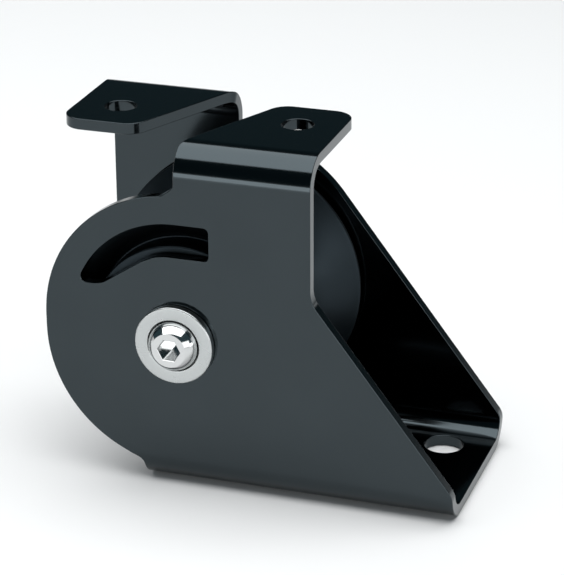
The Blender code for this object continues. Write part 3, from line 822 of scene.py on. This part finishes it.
# %% [markdown]
# Every finish here starts the same way: a Principled shader, a place on the piece measured from the
# axle, and the two noises. A turned piece adds the lathe's marks. The base colour swings a few per
# cent either side of its value, the roughness runs between two values, and the relief is very
# shallow; each follows one of these masks, which run from 0 to 1.

# %% Start a finish
def new_finish(name, metallic, patch_size, grain_size, ring_pitch=None):
    """A material and its masks by name: Patches, Grain and, where rings have a pitch, Marks."""
    finish = bpy.data.materials.new(name)
    finish.use_nodes = True
    tree = finish.node_tree
    tree.nodes["Principled BSDF"].inputs["Metallic"].default_value = metallic
    coordinates = node(tree, "TexCoord", {})
    inputs = {"Vector": coordinates.outputs["Object"], "Location": -AXLE}
    place = node(tree, "Mapping", inputs).outputs["Vector"]
    inputs = {"Vector": place, "Patch Size": patch_size, "Grain Size": grain_size}
    masks = dict(node(tree, "Group", inputs, node_tree=surface_variation).outputs.items())
    if ring_pitch:
        inputs = {"Vector": place, "Pitch": ring_pitch}
        masks.update(node(tree, "Group", inputs, node_tree=turning_marks).outputs.items())
    return finish, masks


def to_shader(finish, value, name):
    """Feeds a value into the named input of the finish's shader."""
    tree = finish.node_tree
    tree.links.new(value, tree.nodes["Principled BSDF"].inputs[name])


def vary_colour(finish, mask, colour, swing):
    """Base Color between colour times 1 - swing and colour times 1 + swing."""
    low = [c * (1 - swing) for c in colour] + [1.0]
    high = [c * (1 + swing) for c in colour] + [1.0]
    inputs = {MIX_SHARE: mask, MIX_FIRST: low, MIX_SECOND: high}
    mixed = node(finish.node_tree, "Mix", inputs, data_type="RGBA")
    to_shader(finish, mixed.outputs[MIX_RESULT], "Base Color")


def vary_roughness(finish, mask, low, high):
    """Roughness from low to high as the mask goes from 0 to 1."""
    spread = node(finish.node_tree, "MapRange", {"Value": mask, "To Min": low, "To Max": high})
    to_shader(finish, spread.outputs[0], "Roughness")


def add_relief(finish, mask, depth):
    """A relief that rises by depth as the mask goes from 0 to 1."""
    bump = node(finish.node_tree, "Bump", {"Height": mask, "Distance": depth})
    to_shader(finish, bump.outputs["Normal"], "Normal")


# %% [markdown]
# The plate has a smooth black coating with a metal's sheen: it mirrors the pale floor as a dark
# blue-grey, and the lamps as clear bands along the folds. That makes it a metallic surface with a
# dark base colour and little roughness.

# %% Finish of the plate
METAL, PLASTIC = 1.0, 0.0          # the shader's Metallic
BLACK_PLATE = (0.045, 0.055, 0.060)


def black_plate_finish():
    finish, masks = new_finish("black_plate", METAL, patch_size=18 * MM, grain_size=0.9 * MM)
    vary_colour(finish, masks["Patches"], BLACK_PLATE, swing=0.06)
    vary_roughness(finish, masks["Patches"], low=0.10, high=0.13)
    add_relief(finish, masks["Grain"], depth=0.002 * MM)
    return finish


# %% [markdown]
# The sheave is turned from aluminium and hard-anodised, which leaves a satin black with the tool's
# rings still showing faintly.

# %% Finish of the sheave
BLACK_SHEAVE = (0.022, 0.029, 0.034)


def black_sheave_finish():
    finish, masks = new_finish(
        "black_sheave", METAL, patch_size=12 * MM, grain_size=0.35 * MM, ring_pitch=0.4 * MM
    )
    vary_colour(finish, masks["Patches"], BLACK_SHEAVE, swing=0.08)
    vary_roughness(finish, masks["Marks"], low=0.35, high=0.43)
    add_relief(finish, masks["Marks"], depth=0.004 * MM)
    return finish


# %% [markdown]
# The washers are stainless steel with a fine satin face, and the screws are polished smoother, so
# their heads mirror the whole studio. The washers get rings and a soft roughness, and the screws no
# rings and a low one.

# %% Finishes of the washers and screws
BRIGHT_STEEL = (0.48, 0.50, 0.50)
POLISHED_STEEL = (0.62, 0.63, 0.63)


def washer_finish():
    finish, masks = new_finish(
        "bright_steel", METAL, patch_size=5 * MM, grain_size=0.25 * MM, ring_pitch=0.25 * MM
    )
    vary_colour(finish, masks["Grain"], BRIGHT_STEEL, swing=0.04)
    vary_roughness(finish, masks["Patches"], low=0.24, high=0.32)
    add_relief(finish, masks["Marks"], depth=0.002 * MM)
    return finish


def screw_finish():
    finish, masks = new_finish("polished_steel", METAL, patch_size=4 * MM, grain_size=0.3 * MM)
    vary_colour(finish, masks["Grain"], POLISHED_STEEL, swing=0.03)
    vary_roughness(finish, masks["Patches"], low=0.08, high=0.12)
    add_relief(finish, masks["Grain"], depth=0.001 * MM)
    return finish


# %% [markdown]
# Inside, between the cheeks and the hub, sit the axle with its side races, the sleeve bearing and the
# rings of captive balls. They keep the frame's own meshes and only take finishes: turned steel, a
# chalky bearing plastic, a matt black cage and glossy white balls.

# %% Finishes of the pieces inside
AXLE_STEEL = (0.55, 0.56, 0.57)
BEARING_PLASTIC = (0.55, 0.53, 0.46)
CAGE_PLASTIC = (0.05, 0.05, 0.05)
BALL_PLASTIC = (0.80, 0.80, 0.77)
ROUGHNESS_SWING = 0.05             # of a plastic, either side of its value


def axle_finish():
    finish, masks = new_finish(
        "axle_steel", METAL, patch_size=6 * MM, grain_size=0.3 * MM, ring_pitch=0.2 * MM
    )
    vary_colour(finish, masks["Patches"], AXLE_STEEL, swing=0.05)
    vary_roughness(finish, masks["Marks"], low=0.22, high=0.34)
    add_relief(finish, masks["Marks"], depth=0.003 * MM)
    return finish


def plastic_finish(name, colour, roughness, depth):
    """A moulded plastic: mottled a little, with a fine grain of the given depth."""
    finish, masks = new_finish(name, PLASTIC, patch_size=3 * MM, grain_size=0.2 * MM)
    vary_colour(finish, masks["Patches"], colour, swing=0.05)
    vary_roughness(finish, masks["Grain"], roughness - ROUGHNESS_SWING, roughness + ROUGHNESS_SWING)
    add_relief(finish, masks["Grain"], depth)
    return finish


# %% Give every piece its finish
finishes = {
    "black_plate": black_plate_finish(),
    "black_sheave": black_sheave_finish(),
    "bright_steel": washer_finish(),
    "axle_steel": axle_finish(),
    "bearing_plastic": plastic_finish(
        "bearing_plastic", BEARING_PLASTIC, roughness=0.5, depth=0.004 * MM
    ),
    "cage_plastic": plastic_finish("cage_plastic", CAGE_PLASTIC, roughness=0.45, depth=0.006 * MM),
    "ball_plastic": plastic_finish("ball_plastic", BALL_PLASTIC, roughness=0.2, depth=0.001 * MM),
}
polished_steel = screw_finish()


def dress(piece, finish):
    """Makes the finish the piece's only material."""
    piece.data.materials.clear()
    piece.data.materials.append(finish)


for row in frame["record"]["subparts"]:
    dress(frame["nodes"][row["node"]], finishes[row["material_slot"]])
dress(bracket, finishes["black_plate"])
dress(sheave, finishes["black_sheave"])
for washer, screw in zip(washers, screws):
    dress(washer, finishes["bright_steel"])
    dress(screw, polished_steel)
print("finishes:", sorted(material.name for material in bpy.data.materials))

# %% [markdown]
# The studio is a pale floor under soft boxes, in a dark room. Glossy black shows mostly what it
# mirrors, so what stands round the block matters more than how much light falls on it. The world is
# as pale as the floor up to a low elevation, so the floor seems to run on behind its edge, and dark
# above, which leaves the flanges' tops nearly black.

# %% Floor and world
FLOOR_RADIUS = 3.0
FLOOR_DROP = 0.2 * MM
FLOOR_EDGE_POINTS = 128
FLOOR_PALE = (0.86, 0.86, 0.86)
HORIZON_PALE = (0.93, 0.93, 0.93, 1.0)
STUDIO_DARK = (0.030, 0.055, 0.065, 1.0)
PALE_BELOW = math.radians(2.5)     # the world is pale up to this elevation
DARK_ABOVE = math.radians(5.5)


def make_floor():
    """A round, matt floor just under the block, staged so that it isn't part of it."""
    angle = np.linspace(0, 2 * math.pi, FLOOR_EDGE_POINTS, endpoint=False)
    height = np.full(FLOOR_EDGE_POINTS, -FLOOR_DROP)
    rim = np.stack((FLOOR_RADIUS * np.cos(angle), FLOOR_RADIUS * np.sin(angle), height), axis=1)
    mesh = bpy.data.meshes.new("floor")
    mesh.from_pydata(rim.tolist(), [], [list(range(FLOOR_EDGE_POINTS))])
    floor = bpy.data.objects.new("floor", mesh)
    bpy.context.scene.collection.objects.link(floor)
    finish = bpy.data.materials.new("pale_floor")
    finish.use_nodes = True
    shader = finish.node_tree.nodes["Principled BSDF"]
    shader.inputs["Base Color"].default_value = (*FLOOR_PALE, 1.0)
    shader.inputs["Roughness"].default_value = 1.0
    shader.inputs["Specular IOR Level"].default_value = 0.0
    mesh.materials.append(finish)


def make_world():
    """Pale up to a low elevation, then dark; the height of a direction is its elevation's sine."""
    world = bpy.data.worlds.new("studio")
    world.use_nodes = True
    tree = world.node_tree
    direction = node(tree, "TexCoord", {}).outputs["Generated"]
    height = node(tree, "SeparateXYZ", {0: direction}).outputs["Z"]
    inputs = {"Value": height, "From Min": math.sin(PALE_BELOW), "From Max": math.sin(DARK_ABOVE)}
    share = node(tree, "MapRange", inputs, interpolation_type="SMOOTHSTEP").outputs[0]
    inputs = {MIX_SHARE: share, MIX_FIRST: HORIZON_PALE, MIX_SECOND: STUDIO_DARK}
    colour = node(tree, "Mix", inputs, data_type="RGBA").outputs[MIX_RESULT]
    tree.links.new(colour, tree.nodes["Background"].inputs["Color"])
    bpy.context.scene.world = world


make_floor()
make_world()
print("floor", FLOOR_RADIUS, "m in radius")

# %% [markdown]
# A lamp's power is given in watts, while what a mirror shows is its brightness. A flat lamp of a
# brightness gives pi times that for each square metre, so the helper takes the brightness, where
# the lit floor is about 1, and works out the watts. The wide box overhead and the long low strip in
# front give each fold a broad light band, a dark one and a thin light one. Of the two boxes at the
# right, the lower makes the soft spot on the sheave, and the screw's socket mirrors the small one at
# the front corner.

# %% Soft boxes
BLOCK_MIDDLE = (0.0, 0.0, 0.05)


def softbox(name, centre, target, width, height, brightness):
    """A flat lamp that faces its target; its power is pi times its brightness times its area."""
    light = bpy.data.lights.new(name, "AREA")
    light.shape = "RECTANGLE"
    light.size = width
    light.size_y = height
    light.energy = brightness * math.pi * width * height
    lamp = bpy.data.objects.new(name, light)
    facing = (Vector(target) - Vector(centre)).to_track_quat("-Z", "Y")
    lamp.matrix_world = Matrix.Translation(centre) @ facing.to_matrix().to_4x4()
    bpy.context.scene.collection.objects.link(lamp)
    print(name, round(light.energy, 1), "W")


softbox(
    "overhead_light", centre=(-0.17, -0.01, 1.05), target=(-0.17, -0.01, 0.0),
    width=1.84, height=1.32, brightness=2.9,
)
softbox(
    "front_light", centre=(-0.15, -0.55, 0.060), target=(-0.15, 0.0, 0.060),
    width=0.70, height=0.12, brightness=2.7,
)
softbox(
    "side_light", centre=(1.1, -0.6, 0.3), target=BLOCK_MIDDLE,
    width=0.9, height=0.5, brightness=1.7,
)
softbox(
    "right_light", centre=(1.3, 0.0, 0.12), target=BLOCK_MIDDLE,
    width=0.5, height=0.24, brightness=2.6,
)
softbox(
    "corner_light", centre=(0.42, -0.82, 0.08), target=BLOCK_MIDDLE,
    width=0.34, height=0.14, brightness=2.9,
)
bpy.context.scene.view_settings.view_transform = "Standard"

# %% [markdown]
# The camera stands where the photographer's stood. It is worked out from one point of the block and
# the place where that point is seen in the picture, so the view keeps its framing if the block moves.

# %% Camera
IMAGE_WIDTH, IMAGE_HEIGHT = 564, 575
FOCAL_PIXELS = 2537.374
CAMERA_AZIMUTH = math.radians(18.6025)
CAMERA_ELEVATION = math.radians(22.9353)
CAMERA_ROLL = math.radians(-0.3291)
CAMERA_DISTANCE = 697.62 * MM      # along the view to the seen point
SEEN_POINT = Vector((AXLE.x, -HALF_WIDTH, AXLE.z))
SEEN_AT = (176.270, 342.441)       # pixel of that point, from the picture's upper left
SENSOR = 36.0                      # millimetres, as the lens


def add_camera():
    """A camera whose place is the seen point less that point's place in the camera's own view.

    In that view it lies right and down by its pixels off the middle, over the focal length in
    pixels, times the distance, and ahead by the distance.
    """
    camera = bpy.data.cameras.new("camera")
    camera.sensor_fit = "AUTO"
    camera.sensor_width = SENSOR
    camera.lens = SENSOR * FOCAL_PIXELS / max(IMAGE_WIDTH, IMAGE_HEIGHT)
    turn = (
        Matrix.Rotation(CAMERA_AZIMUTH, 4, "Z")
        @ Matrix.Rotation(math.pi / 2 - CAMERA_ELEVATION, 4, "X")
        @ Matrix.Rotation(CAMERA_ROLL, 4, "Z")
    )
    right = (SEEN_AT[0] - IMAGE_WIDTH / 2) / FOCAL_PIXELS * CAMERA_DISTANCE
    down = (SEEN_AT[1] - IMAGE_HEIGHT / 2) / FOCAL_PIXELS * CAMERA_DISTANCE
    place = SEEN_POINT - turn @ Vector((right, -down, -CAMERA_DISTANCE))
    obj = bpy.data.objects.new("camera", camera)
    obj.matrix_world = Matrix.Translation(place) @ turn
    bpy.context.scene.collection.objects.link(obj)
    bpy.context.scene.camera = obj
    return obj


camera = add_camera()
print("lens", round(camera.data.lens, 1), "mm, camera at", [round(c, 3) for c in camera.location])
